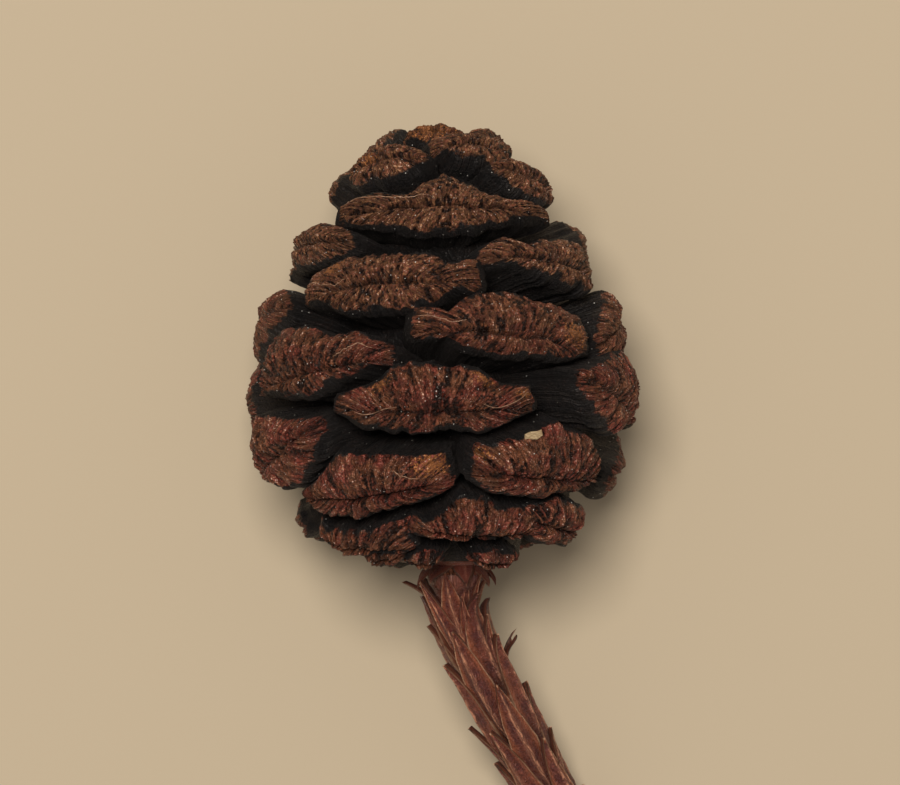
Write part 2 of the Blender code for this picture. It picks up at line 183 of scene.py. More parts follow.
# %% [markdown]
# ## Where each scale stands
#
# The scales of this cone sit in opposite pairs that wind round its core. The scale in view comes
# from the table, and its partner stands opposite it with a little unevenness. All could be drawn
# by one rule, but a real cone is never that even. A seeded random generator gives the same draws
# in every run. Each scale leans with the cone's outline, so that its face looks outwards.


# %% Places of the scales
def outer_radius(y):
    return belly_radius * float(numpy.interp(y / mm, outline_heights, outline_shares))


def lean_of(y):
    lean = math.atan2(outer_radius(y - lean_step) - outer_radius(y + lean_step), 2 * lean_step)
    return max(-most_lean, min(most_lean, lean_share * lean))


partner_seed = 41
size_jitter, turn_jitter, height_jitter, roll_jitter = 0.06, 4.0, 0.3 * mm, 8.0


def place_scales():
    draw = random.Random(partner_seed)
    placed = []
    for pair, (azimuth, height, half, above, below, roll) in front_scales.items():
        outline = outlines.get(pair, plain_outline)
        placed.append((azimuth, height * mm, half * mm, above * mm, below * mm, roll, outline))
        size = 1 + draw.uniform(-size_jitter, size_jitter)
        placed.append((
            azimuth + 180 + draw.uniform(-turn_jitter, turn_jitter),
            height * mm + draw.uniform(-height_jitter, height_jitter),
            half * mm * size,
            above * mm * size,
            below * mm * size,
            roll + draw.uniform(-roll_jitter, roll_jitter),
            (outline[0][::-1], outline[1][::-1]),
        ))
    return placed


def scale_axes(azimuth, height, roll):
    turn, lean = math.radians(azimuth), lean_of(height)
    radial = Vector((math.sin(turn), 0, math.cos(turn)))
    along = Vector((0, 1, 0))
    across = Vector((math.cos(turn), 0, -math.sin(turn)))
    out = radial * math.cos(lean) + along * math.sin(lean)
    up = along * math.cos(lean) - radial * math.sin(lean)
    spin = Matrix.Rotation(math.radians(roll), 3, out)
    middle = radial * (outer_radius(height) - shield_sink) + along * height
    middle.z += axis_height
    return middle, spin @ across, spin @ up, out


scales = place_scales()
print("scales", len(scales))

# %% [markdown]
# ## The face of a scale
#
# A ripe scale ends in a wide shield with a slit across it. The half above the slit is tall, the
# half below is a narrow lip, and both are swollen and pleated by drying. The pleats fan out from
# a small button in the middle. Pleats, grain and lumps are real shape here, worked out point by
# point with Blender's own noise, so that the rim gets the same lobes as the pleats that reach it.

# %% Shape of a face
front_step, back_step = 0.06 * mm, 0.09 * mm
fan_spread, fan_more_at_ends = 0.6, 1.5


def fan_place(u, v, half, reach):
    """Where a point lies across the fan of pleats, in mm: the pleats spread away from the slit."""
    spread = fan_spread * (1 + fan_more_at_ends * (u / half) ** 2)
    return u / mm / (1 + spread * min(1.3, abs(v) / reach))


print("grid steps in mm", front_step / mm, back_step / mm)

# %% [markdown]
# ### Folds of the dried skin
#
# As the scale dries, its skin shrinks into folds of several sizes, one on another. Carving each by
# hand would take days, so smooth noise makes them. Folded at its middle value, it gives swellings
# with creases between them, and the lines of its middle value give thin raised crests.

# %% Folds of the skin
# Folds to the mm across the face, from wide folds to fine grains, and how high each stands
wide_folds, pleat_folds, crest_folds, thread_folds, grain_folds = 1.05, 2.6, 3.4, 6.5, 7.0
wide_height, pleat_height, crest_height = 0.15 * mm, 0.16 * mm, 0.14 * mm
thread_height, grain_height, lump_height = 0.055 * mm, 0.05 * mm, 0.11 * mm


def lump(x, y, z):
    return noise.noise(Vector((x, y, z)))


def fold(x, y, z):
    """Rounded swellings with sharp creases between them, from 0 in a crease to about 1."""
    return min(1.0, 2.6 * abs(noise.noise(Vector((x, y, z)))))


def crest(x, y, z):
    """Thin raised lines, 1 along a line and 0 between the lines."""
    return max(0.0, 1 - 3.2 * abs(noise.noise(Vector((x, y, z))))) ** 1.5


def smooth_step(low, high, value):
    w = min(1.0, max(0.0, (value - low) / (high - low)))
    return w * w * (3 - 2 * w)


def skin_relief(x, y, f, away, seed, tip_like):
    """How the folds and grains of the skin stand out at x and y in mm, and how much of a ridge it is."""
    sway = f + 0.14 * lump(x * 0.9, y * 0.9, seed + 40.0) + 0.07 * lump(x * 2.4, y * 2.4, seed)
    wide = fold(sway * wide_folds, seed, 2.0)
    pleats = fold(sway * (pleat_folds + 0.8 * tip_like), y * (0.35 + 1.5 * tip_like), seed + 11.0)
    crests = crest(sway * (crest_folds + 1.2 * tip_like), y * (0.6 + 1.8 * tip_like), seed + 17.0)
    threads = crest(sway * thread_folds, y * (1.2 + 2.5 * tip_like), seed + 19.0)
    grain = lump(x * grain_folds, y * grain_folds, seed + 29.0)
    lumps = lump(x * 0.8, y * 1.1, seed + 23.0)
    calm = 1 - 0.45 * tip_like
    relief = wide_height * calm * (wide - 0.5) * away
    relief += (pleat_height * (pleats - 0.5) + crest_height * crests) * calm * (0.6 + 0.4 * away)
    relief += thread_height * threads + grain_height * (1 + 0.6 * tip_like) * grain + lump_height * lumps
    ridge = 0.3 * pleats + 0.5 * crests + 0.2 * threads + 0.12 * wide * away + 0.4 * grain
    return relief, min(1.0, max(0.0, ridge))


print("wide folds to the mm", wide_folds, "fine ones", thread_folds)

# %% [markdown]
# ### Swelling, slit and rim
#
# The two halves of the face swell like lips, and where they meet is the slit. They could be carved
# out of a finished shield, but worked out together with the folds, the slit wavers with them and
# the rim gets its lobes where the pleats end.

# %% Swelling, slit and rim
upper_puff, lower_puff, puff_power = 0.42 * mm, 0.3 * mm, 0.75
puff_lost_at_ends = 0.7

# The slit and the button under it, and how the face falls away to its edge and its ends
slit_half, slit_half_jitter, slit_waver = 0.062 * mm, 0.04 * mm, 0.2 * mm
slit_depth, button_depth = 0.42 * mm, 0.16 * mm
button_half_width, button_half_height, button_up = 0.36 * mm, 0.3 * mm, 0.28 * mm
edge_round, end_round, end_drop, face_sink = 0.1 * mm, 0.16 * mm, 0.3 * mm, 0.05 * mm

# Lobes in the rim, one to each wide fold with smaller ones on it
lobe_heights = (0.22 * mm, 0.12 * mm, 0.05 * mm)
lobe_mean, least_reach = 0.17 * mm, 0.1 * mm


def rim_reach(s, upper, above, below, outline, seed, f):
    """How far the face reaches from the slit at s, with a lobe in the rim for each pleat."""
    stations = [2 * n / 6 - 1 for n in range(7)]
    plain = (above if upper else below) * float(numpy.interp(s, stations, outline[0 if upper else 1])) / 100
    wide, fine, finest = lobe_heights
    lobes = wide * fold(f * wide_folds, seed, 2.0) + fine * fold(f * 2.3, seed, 3.0)
    lobes += finest * lump(f * 5, seed, 4.0)
    return max(least_reach, plain + lobes - lobe_mean)


def slit_and_button(s, v, f, seed):
    """How much of the slit and of the button a point is in, each from 0 to about 1."""
    waver = slit_waver * (lump(f * 0.7, seed, 4.0) + 0.7 * lump(f * 2.1, seed, 6.0))
    half = slit_half + slit_half_jitter * lump(f * 1.4, seed, 8.0)
    slit = math.exp(-((v - waver) / half) ** 2) * (1 - 0.75 * smooth_step(0.45, 0.95, abs(s)))
    slit *= 0.85 + 0.5 * lump(f * 1.7, seed, 9.0)
    across, up = f * mm / button_half_width, (v - button_up) / button_half_height
    return slit, math.exp(-(across**2 + up**2))


def face_relief(s, t, u, v, reach, scale):
    """How proud a point of the face stands, with its ridge and hollow shares for the finish."""
    f = fan_place(u, v, scale["half"], reach)
    away = smooth_step(0.0, 0.3, abs(t))
    relief, ridge = skin_relief(u / mm, v / mm, f, away, scale["seed"], scale["tip_like"])
    slit, button = slit_and_button(s, v, f, scale["seed"])
    swell = (upper_puff if t > 0 else lower_puff) * math.sin(math.pi * min(1.0, abs(t)) ** puff_power)
    swell *= 1 - puff_lost_at_ends * s * s
    rounded = edge_round * smooth_step(0.8, 1.0, abs(t)) + end_round * smooth_step(0.9, 1.0, abs(s))
    sunk = slit_depth * slit + button_depth * button + end_drop * abs(s) ** 3 + rounded + face_sink
    return swell + relief - sunk, ridge, max(min(1.0, 1.2 * slit), 0.8 * button), f


print("slit depth in mm", round(slit_depth / mm, 2), "button depth", round(button_depth / mm, 2))

# %% [markdown]
# ## One whole scale
#
# The face is a grid of points. Its rim runs on into rings that go down the stalk, first bulging
# a little, as a thick edge does, and then narrowing towards the core. Each point also keeps a few
# numbers for its finish: its place along the pleats, its distance from the rim (below zero on the
# dark flank), how deep in the slit and how high on a ridge it is, how near the cone's tip, and how
# much of an ochre spot. Shaders read these by name.

# %% Points of a face
root_share = 0.86
end_rough = 0.12 * mm


def describe_scale(number, values):
    """Everything about one scale that its points need."""
    azimuth, height, half, above, below, roll, outline = values
    middle, across, up, out = scale_axes(azimuth, height, roll)
    return {
        "middle": middle, "across": across, "up": up, "out": out,
        "half": half, "above": above, "below": below, "outline": outline,
        "seed": 3.7 * number + 0.5,
        "tip_like": smooth_step(-1.0, 8.0, height / mm),
        "root": root_share * outer_radius(height) / math.cos(lean_of(height)),
        "step": front_step if number % 2 == 0 else back_step,
    }


def scale_point(scale, u, v, depth):
    fall = (u * u + v * v) / (2 * shield_curve)
    place = scale["middle"] + scale["across"] * u + scale["up"] * v - scale["out"] * (fall + depth)
    place.z = max(place.z, 0.0)
    return place


def face_point(scale, s, t):
    """A point of the face at s across it and t up it, with its flat place and its finish values."""
    half, seed = scale["half"], scale["seed"]
    reach = scale["above"] if t > 0 else scale["below"]
    at_rim = fan_place(half * s, reach, half, reach)
    v = t * rim_reach(s, t > 0, scale["above"], scale["below"], scale["outline"], seed, at_rim)
    u = half * s * (1 - 0.05 * t * t * s**4)
    u += end_rough * lump(v / mm * 1.6, seed, 8.0 + (s > 0)) * s * s
    proud, ridge, hollow, f = face_relief(s, t, u, v, reach, scale)
    rim = min((1 - abs(t)) * abs(v / t if t else reach), (1 - abs(s)) * half) / mm
    return scale_point(scale, u, v, -proud), (u, v, f), (rim, hollow, ridge), -proud


print("roots reach to a share of", root_share)

# %% [markdown]
# ### Down the flank
#
# Behind the face a real scale has a thick rough edge and then a narrowing stalk. A plain extrusion
# would be too clean, so each ring is placed on its own, bulged under the lower lip and roughened.

# %% The flank
flank_depths = (0.05, 0.12, 0.22, 0.36, 0.56, 0.85, 1.2, 1.7, 2.4, 3.4, 4.8, 6.4)
flank_straight, flank_lost, flank_power, flank_end = 0.6 * mm, 0.84, 1.7, 0.95
flank_rough, flank_fibre = 0.24 * mm, 0.06 * mm
lower_edge, edge_height = 0.2 * mm, 1.4 * mm
relief_depth = 1.2 * mm


def flank_share(depth, root):
    """How wide the stalk still is at a depth under the face."""
    return 1 - flank_lost * (max(0.0, depth - flank_straight) / (root - flank_straight)) ** flank_power


def flank_point(scale, above, depth):
    """A point of the flank at a depth under a point of the rim."""
    u, v, f = above["flat"]
    turn, seed = math.atan2(v, u), scale["seed"]
    rough = lump(math.cos(turn) * 4.5, math.sin(turn) * 4.5, seed + depth / mm * 0.9)
    fibre = lump(f * 2.6, v / mm * 2.6, seed + depth / mm * 0.8)
    uneven = (flank_rough * rough + flank_fibre * fibre) * smooth_step(0.0, 0.5, depth / mm)
    grow = flank_share(depth, scale["root"]) + uneven / scale["half"]
    swollen = math.sin(math.pi * min(1.0, (depth + 0.06 * mm) / edge_height))
    bulge = lower_edge * smooth_step(0.1, 0.9, -v / mm) * swollen
    settle = above["dip"] * max(0.0, 1 - depth / relief_depth)
    place = scale_point(scale, u * grow, v * grow - bulge, settle + depth)
    marks = (-depth / mm, 0.0, 0.5 + 0.5 * fibre)
    return {"place": place, "lay": above["lay"], "marks": marks, "tone": (scale["tip_like"], 0.0, 0.0)}


print("rings down a flank", len(flank_depths))

# %% [markdown]
# ### The mesh of a scale
#
# Grid and rings are joined with four-sided faces, and the last ring is closed inside the core. The
# size of the steps stays the same on large and small scales, so their folds are equally sharp.

# %% Mesh of a scale
ochre_tall = 1.8


def steps_for(length, step, least):
    return max(least, int(round(length / step)))


def ochre_share_at(s, t, spots):
    """How much of an ochre spot a point of the face is in, from 0 to 1."""
    shares = [math.exp(-((s - a) / w) ** 2 - ((t - b) / (ochre_tall * w)) ** 2) for a, b, w in spots]
    return max(shares, default=0)


def face_grid(scale, wide, rows_down, rows_up, spots):
    """The points of the face by their place in the grid, and what the finish needs of each."""
    grid = {}
    for i in range(wide + 1):
        q = 2 * i / wide - 1
        s = (q + math.sin(math.pi * q / 2)) / 2
        for j in range(-rows_down, rows_up + 1):
            t = j / rows_up if j > 0 else j / rows_down
            place, flat, marks, dip = face_point(scale, s, t)
            lay = (flat[2], flat[1] / mm, scale["seed"])
            tone = (scale["tip_like"], ochre_share_at(s, t, spots), 0.0)
            grid[i, j] = {"place": place, "flat": flat, "dip": dip, "lay": lay, "marks": marks, "tone": tone}
    return grid


def scale_mesh(scale, spots):
    """Points, faces and finish values of a whole scale, from its face down to its root."""
    wide = steps_for(2 * scale["half"], scale["step"], 20)
    rows_up, rows_down = (
        steps_for(scale[side] * max(outline) / 100, scale["step"], least)
        for side, outline, least in zip(("above", "below"), scale["outline"], (8, 5)))
    grid = face_grid(scale, wide, rows_down, rows_up, spots)
    number = {key: n for n, key in enumerate(grid)}
    made = list(grid.values())
    faces = [tuple(number[key] for key in ((i, j), (i + 1, j), (i + 1, j + 1), (i, j + 1)))
             for i in range(wide) for j in range(-rows_down, rows_up)]
    edge = [(i, -rows_down) for i in range(wide)] + [(wide, j) for j in range(-rows_down, rows_up)]
    edge += [(i, rows_up) for i in range(wide, 0, -1)] + [(0, j) for j in range(rows_up, -rows_down, -1)]
    ring = [number[key] for key in edge]
    for depth in [d * mm for d in flank_depths if d * mm < flank_end * scale["root"]]:
        inner = list(range(len(made), len(made) + len(edge)))
        made += [flank_point(scale, grid[key], depth) for key in edge]
        for a in range(len(edge)):
            b = (a + 1) % len(edge)
            faces.append((ring[b], ring[a], inner[a], inner[b]))
        ring = inner
    faces.append(tuple(reversed(ring)))
    vectors = {label: [point[label] for point in made] for label in ("lay", "marks", "tone")}
    return [point["place"] for point in made], faces, vectors


print("an ochre spot is taller than wide by", ochre_tall)

# %% [markdown]
# ## A piece that rides with the part
#
# Every shape becomes a piece of its own. It moves with the part and takes the place of one of its
# nodes, so that the part can wear this surface wherever it is used.

# %% Making a piece
# The node that a piece takes the place of, and its slot
on_cone, on_twig = ("seed_cone", "cone_wood"), ("leafy_twig", "twig_bark")


def new_piece(name, points, faces, vectors, material, stands_for):
    """A mesh piece with named vectors at its points, riding with the part in place of a node."""
    node, slot = stands_for
    mesh = bpy.data.meshes.new(name)
    mesh.from_pydata([tuple(p) for p in points], [], faces)
    for label, values in vectors.items():
        kept = mesh.attributes.new(label, "FLOAT_VECTOR", "POINT")
        kept.data.foreach_set("vector", numpy.array(values, dtype=numpy.float32).ravel())
    mesh.shade_smooth()
    mesh.materials.append(material)
    made = bpy.data.objects.new(name, mesh)
    bpy.context.scene.collection.objects.link(made)
    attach(made, "root")
    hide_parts(node)
    return made


print("pieces stand for", on_cone, on_twig)

# %% [markdown]
# ## Effects that several finishes share
#
# Dry plant surfaces have the same few effects at different sizes: fine fibres and soft patches of
# another tint. Small glints of light are painted on as tiny pale spots. Each is one node group with named
# inputs, placed in a material with its own values, so that one change mends every finish that uses it.


# %% Helpers for node trees
def add(tree, kind, **settings):
    made = tree.nodes.new(kind)
    for name, value in settings.items():
        setattr(made, name, value)
    return made


def feed(tree, socket, value):
    """Puts a number or a colour on a socket, or links another socket to it."""
    if isinstance(value, bpy.types.NodeSocket):
        tree.links.new(value, socket)
    else:
        socket.default_value = value


def calc(tree, operation, *values, clamp=False):
    made = add(tree, "ShaderNodeMath", operation=operation, use_clamp=clamp)
    for socket, value in zip(made.inputs, values):
        feed(tree, socket, value)
    return made.outputs["Value"]


def between(tree, value, low, high, to_low=0.0, to_high=1.0):
    made = add(tree, "ShaderNodeMapRange", interpolation_type="SMOOTHSTEP")
    for name, given in (("Value", value), ("From Min", low), ("From Max", high),
                        ("To Min", to_low), ("To Max", to_high)):
        feed(tree, made.inputs[name], given)
    return made.outputs["Result"]


# A mix node has sockets for numbers, vectors and colours; these are the places of its colour ones
first_colour_place, second_colour_place, mixed_colour_place = 6, 7, 2


def mix(tree, share, first, second):
    made = add(tree, "ShaderNodeMix", data_type="RGBA")
    feed(tree, made.inputs["Factor"], share)
    feed(tree, made.inputs[first_colour_place], first)
    feed(tree, made.inputs[second_colour_place], second)
    return made.outputs[mixed_colour_place]


def layered(tree, colour, *layers):
    """Lays tints over a colour one after another, each through its mask at a given strength."""
    for mask, strength, tint in layers:
        colour = mix(tree, calc(tree, "MULTIPLY", mask, strength), colour, tint)
    return colour


def stretched(tree, vector, amounts):
    made = add(tree, "ShaderNodeVectorMath", operation="MULTIPLY")
    feed(tree, made.inputs[0], vector)
    feed(tree, made.inputs[1], amounts)
    return made.outputs["Vector"]


def noise_at(tree, vector, scale, detail, rough):
    made = add(tree, "ShaderNodeTexNoise")
    for name, given in (("Vector", vector), ("Scale", scale), ("Detail", detail), ("Roughness", rough)):
        feed(tree, made.inputs[name], given)
    return made.outputs["Fac"]


def new_group(name, takes, gives):
    group = bpy.data.node_groups.new(name, "ShaderNodeTree")
    for label, kind, value in takes:
        socket = group.interface.new_socket(label, in_out="INPUT", socket_type="NodeSocket" + kind)
        if value is not None:
            socket.default_value = value
    for label, kind in gives:
        group.interface.new_socket(label, in_out="OUTPUT", socket_type="NodeSocket" + kind)
    return group, add(group, "NodeGroupInput").outputs, add(group, "NodeGroupOutput").inputs


def use_group(tree, group, **values):
    made = add(tree, "ShaderNodeGroup", node_tree=group)
    for name, value in values.items():
        feed(tree, made.inputs[name], value)
    return made.outputs


def both(tree, first, second):
    """One mask times another."""
    return calc(tree, "MULTIPLY", first, second)


print("helpers for node trees are ready")

# %% [markdown]
# ### Dry fibres
#
# Dried wood and leaves show fine creases that all run one way. A noise texture stretched along
# the fibres gives them, and folding it at its middle value makes the creases sharp. The group puts
# out their height for a bump and a mask of the ridges.

# %% Group: dry fibres
dry_fibres, takes, gives = new_group(
    "Dry fibres",
    [("Place", "Vector", None), ("Across", "Float", 5.0), ("Along", "Float", 1.0), ("Bend", "Float", 0.4)],
    [("Height", "Float"), ("Ridges", "Float")],
)
tree = dry_fibres
stretch = add(tree, "ShaderNodeCombineXYZ")
feed(tree, stretch.inputs["X"], takes["Across"])
feed(tree, stretch.inputs["Y"], takes["Along"])
stretch.inputs["Z"].default_value = 1.0
bent = noise_at(tree, takes["Place"], 1.3, 2.0, 0.5)
sway = add(tree, "ShaderNodeCombineXYZ")
feed(tree, sway.inputs["X"], both(tree, bent, takes["Bend"]))
swayed = add(tree, "ShaderNodeVectorMath", operation="ADD")
feed(tree, swayed.inputs[0], takes["Place"])
feed(tree, swayed.inputs[1], sway.outputs["Vector"])
laid = stretched(tree, swayed.outputs["Vector"], stretch.outputs["Vector"])
coarse = noise_at(tree, laid, 1.0, 3.0, 0.62)
fine = noise_at(tree, laid, 2.7, 2.0, 0.6)
folded = calc(tree, "ABSOLUTE", calc(tree, "SUBTRACT", coarse, 0.5))
creases = between(tree, folded, 0.0, 0.09)
height = calc(tree, "ADD", both(tree, creases, 0.55), both(tree, fine, 0.45))
feed(tree, gives["Height"], height)
feed(tree, gives["Ridges"], between(tree, height, 0.45, 0.85))
print(dry_fibres.name, "nodes", len(dry_fibres.nodes))

# %% [markdown]
# ### Soft patches
#
# A tint that comes and goes over a surface needs a mask with soft edges. Here it is a cloudy noise
# of a given size, cut between two levels.

# %% Group: soft patches
soft_patches, takes, gives = new_group(
    "Soft patches",
    [("Place", "Vector", None), ("Size", "Float", 1.0), ("Least", "Float", 0.45), ("Most", "Float", 0.65)],
    [("Mask", "Float")],
)
tree = soft_patches
cloud = noise_at(tree, takes["Place"], calc(tree, "DIVIDE", 1.0, takes["Size"]), 4.0, 0.6)
feed(tree, gives["Mask"], between(tree, cloud, takes["Least"], takes["Most"]))
print(soft_patches.name, "nodes", len(soft_patches.nodes))

# %% [markdown]
# ### Tiny glints
#
# Small glints of light are painted as separate pale spots. A cell texture gives every cell a number of its
# own, so that a chosen share of the cells can hold a spot in their middle.

# %% Group: tiny glints
tiny_glints, takes, gives = new_group(
    "Tiny glints",
    [("Place", "Vector", None), ("Scale", "Float", 5.0), ("Share", "Float", 0.1), ("Size", "Float", 0.2)],
    [("Mask", "Float")],
)
tree = tiny_glints
cells = add(tree, "ShaderNodeTexVoronoi", feature="F1")
feed(tree, cells.inputs["Vector"], takes["Place"])
feed(tree, cells.inputs["Scale"], takes["Scale"])
drawn = add(tree, "ShaderNodeSeparateColor")
feed(tree, drawn.inputs["Color"], cells.outputs["Color"])
chosen = calc(tree, "LESS_THAN", drawn.outputs["Red"], takes["Share"])
near = calc(tree, "LESS_THAN", cells.outputs["Distance"], takes["Size"])
feed(tree, gives["Mask"], both(tree, chosen, near))
print("node groups", [g.name for g in bpy.data.node_groups])

# %% [markdown]
# ## The finish of the scales
#
# The faces are dry brown wood with ochre on their ridges, near the tip greyer and near the foot
# redder, with painted shade in their creases and painted highlights on their ridge tops. The flanks are
# almost black, and the slits and buttons are painted near black as shade. Faces and flanks carry tiny pale
# painted glints, and the sharpest ridges get small pink painted glints. Painted maps could do it, but a mix
# of tints by the numbers kept at each point stays sharp at any distance.


# %% Helpers for finishes
def named_vector(tree, name):
    return add(tree, "ShaderNodeAttribute", attribute_name=name).outputs["Vector"]


def parts_of(tree, vector):
    made = add(tree, "ShaderNodeSeparateXYZ")
    feed(tree, made.inputs["Vector"], vector)
    return made.outputs["X"], made.outputs["Y"], made.outputs["Z"]


def place_in_mm(tree):
    """The place of a point on its own piece, in mm."""
    per_metre = 1 / mm
    return stretched(tree, add(tree, "ShaderNodeTexCoord").outputs["Object"], (per_metre,) * 3)


def new_finish(name):
    material = bpy.data.materials.new(name)
    material.use_nodes = True
    return material, material.node_tree, material.node_tree.nodes["Principled BSDF"]


def bump(tree, shader, height, distance, strength):
    made = add(tree, "ShaderNodeBump")
    made.inputs["Distance"].default_value = distance
    made.inputs["Strength"].default_value = strength
    feed(tree, made.inputs["Height"], height)
    feed(tree, shader.inputs["Normal"], made.outputs["Normal"])


print("helpers for finishes are ready")

# %% [markdown]
# ### Tints and layers of the cone
#
# The tints were judged against the photograph. They are laid over one another like glazes,
# each through a mask, from the painted shade of the darkest creases up to the palest painted glints.

# %% Finish: cone wood
near_black = (0.0035, 0.0033, 0.0042, 1.0)
flank_brown = (0.014, 0.0085, 0.0075, 1.0)
# Painted shade: a near-black brown laid in the creases between raised skin, in the slit and in the button's
# dip
crease_shade = (0.012, 0.004, 0.0025, 1.0)
face_brown = (0.2, 0.066, 0.029, 1.0)
red_brown = (0.215, 0.042, 0.026, 1.0)
grey_tan = (0.34, 0.165, 0.075, 1.0)
# Painted highlights: a light tan on ridge tops, and a pale pink for small glints on the sharpest ridges
ridge_highlight = (0.5, 0.25, 0.14, 1.0)
glint_pink = (0.85, 0.56, 0.44, 1.0)
ochre = (0.42, 0.155, 0.052, 1.0)
# Painted highlight: pale specks that stand for tiny glints of light
pale_glint = (0.8, 0.74, 0.66, 1.0)

cone_wood, tree, shader = new_finish("cone_wood")
lay = named_vector(tree, "lay")
rim, hollow, ridge = parts_of(tree, named_vector(tree, "marks"))
tip_like, ochre_share, _ = parts_of(tree, named_vector(tree, "tone"))
in_mm = place_in_mm(tree)
fibres = use_group(tree, dry_fibres, Place=lay, Across=4.4, Along=1.0, Bend=0.45)
speckle = use_group(tree, soft_patches, Place=in_mm, Size=0.13, Least=0.44, Most=0.58)["Mask"]
clouds = use_group(tree, soft_patches, Place=in_mm, Size=1.3, Least=0.38, Most=0.62)["Mask"]
stains = use_group(tree, soft_patches, Place=in_mm, Size=0.7, Least=0.56, Most=0.7)["Mask"]
# Masks of painted glints: sparse pale specks everywhere, and denser ones for the pink glints on lit ridges
pale_glints = use_group(tree, tiny_glints, Place=in_mm, Scale=5.5, Share=0.05, Size=0.17)["Mask"]
glints = use_group(tree, tiny_glints, Place=in_mm, Scale=9.0, Share=0.45, Size=0.34)["Mask"]

# The warm skin: redder in clouds, less so near the tip, where grey tan comes in
redness = both(tree, clouds, calc(tree, "SUBTRACT", 1.0, both(tree, tip_like, 0.7)))
greyness = both(tree, speckle, tip_like)
warm = layered(tree, face_brown, (redness, 1.0, red_brown), (greyness, 0.7, grey_tan))

# Raised skin keeps the warm tint, the creases between it keep the painted shade, and its tops and sharpest
# ridges get painted highlights
fibre_share = calc(tree, "ADD", 0.15, both(tree, fibres["Height"], 1.25))
raised = calc(tree, "MULTIPLY", between(tree, ridge, 0.1, 0.5), fibre_share, clamp=True)
# Painted highlight: lighter tan specks on the tops of the ridges
tops = both(tree, between(tree, ridge, 0.45, 0.85), both(tree, speckle, fibres["Height"]))
lit_edges = both(tree, between(tree, ridge, 0.4, 0.75), between(tree, fibres["Height"], 0.45, 0.75))

# Weathered ochre spots with ragged edges
ochre_edge = calc(tree, "ADD", ochre_share, both(tree, calc(tree, "SUBTRACT", speckle, 0.5), 0.7))
ochre_skin = calc(tree, "ADD", 0.4, raised)
golden = calc(tree, "MULTIPLY", between(tree, ochre_edge, 0.45, 0.75), ochre_skin, clamp=True)

# The face's tints one over another with painted shade and highlights among them, then the black flank past
# the rim, and the painted pale glints over all
skin = layered(
    tree, crease_shade,
    (raised, 1.0, warm),
    (tops, 0.6, ridge_highlight),
    (both(tree, glints, lit_edges), 0.7, glint_pink),
    (golden, 1.0, ochre),
    (stains, 0.5, flank_brown),
    # Painted shade in the slit and the button's dip
    (hollow, 0.8, crease_shade),
)
uneven_rim = calc(tree, "ADD", rim, both(tree, calc(tree, "SUBTRACT", clouds, 0.5), 0.3))
on_face = between(tree, uneven_rim, -0.02, 0.12)
flank = mix(tree, both(tree, clouds, speckle), near_black, flank_brown)
colour = layered(tree, flank, (on_face, 1.0, skin), (pale_glints, 1.0, pale_glint))
feed(tree, shader.inputs["Base Color"], colour)

# A soft warm gloss in specks, and a fine bump of the fibres
glossy = both(tree, speckle, calc(tree, "ADD", 0.35, both(tree, on_face, 0.65)))
feed(tree, shader.inputs["Roughness"], between(tree, glossy, 0.0, 1.0, 0.6, 0.22))
shader.inputs["Specular IOR Level"].default_value = 0.42
shader.inputs["Specular Tint"].default_value = (1.0, 0.87, 0.78, 1.0)
granular = calc(tree, "ADD", fibres["Height"], both(tree, speckle, 0.45))
bump(tree, shader, granular, 0.26 * mm, 1.0)
print("cone wood nodes", len(tree.nodes))

# %% [markdown]
# ## Weathered spots
#
# A few places on the faces have lost their dark skin and show ochre. Each is given by its scale,
# its place across and up the face, and its size as a share of the face.

# %% Ochre spots
ochre_spots = {
    -5: [(-0.2, 0.2, 0.7)],
    -2: [(-0.3, 0.3, 0.2)],
    5: [(0.8, 0.35, 0.16)],
    8: [(-0.52, 0.8, 0.1), (0.5, 0.85, 0.09), (0.95, 0.7, 0.1)],
    10: [(-0.95, 0.6, 0.12)],
    11: [(0.85, 0.7, 0.2)],
    3: [(-0.6, 0.7, 0.12)],
}
print("scales with ochre spots", len(ochre_spots))

# %% [markdown]
# ## All the scales
#
# Now each place in the list becomes a scale of its own. The scales in view get the finer grid and
# the ochre spots. Those behind have the same form on a slightly coarser grid, which keeps the
# whole cone light enough to turn round.

# %% Make the scales
total = 0
made_scales = [describe_scale(number, values) for number, values in enumerate(scales)]
pairs = list(front_scales)
for number, scale in enumerate(made_scales):
    spots = ochre_spots.get(pairs[number // 2], []) if number % 2 == 0 else []
    points, faces, vectors = scale_mesh(scale, spots)
    new_piece(f"scale_{number:02d}", points, faces, vectors, cone_wood, on_cone)
    total += 2 * len(faces)
print("scales made", len(scales), "triangles about", total)

# %% [markdown]
# ## The core and the neck
#
# Behind the scales is the core that their stalks grow from. Little of it shows in the dark gaps,
# but it closes them, and at the foot it runs out into the neck that meets the twig.


# %% Core and neck
def tube_piece(name, rows, vectors, material, stands_for):
    """A piece that is a closed tube through rows of points, none of them below the floor."""
    points = [p for row in rows for p in row]
    for p in points:
        p.z = max(p.z, 0.0)
    count = len(rows[0])
    faces = []
    for r in range(len(rows) - 1):
        for n in range(count):
            m = (n + 1) % count
            faces.append((r * count + n, r * count + m, (r + 1) * count + m, (r + 1) * count + n))
    faces.append(tuple(reversed(range(count))))
    faces.append(tuple((len(rows) - 1) * count + n for n in range(count)))
    return new_piece(name, points, faces, vectors, material, stands_for)


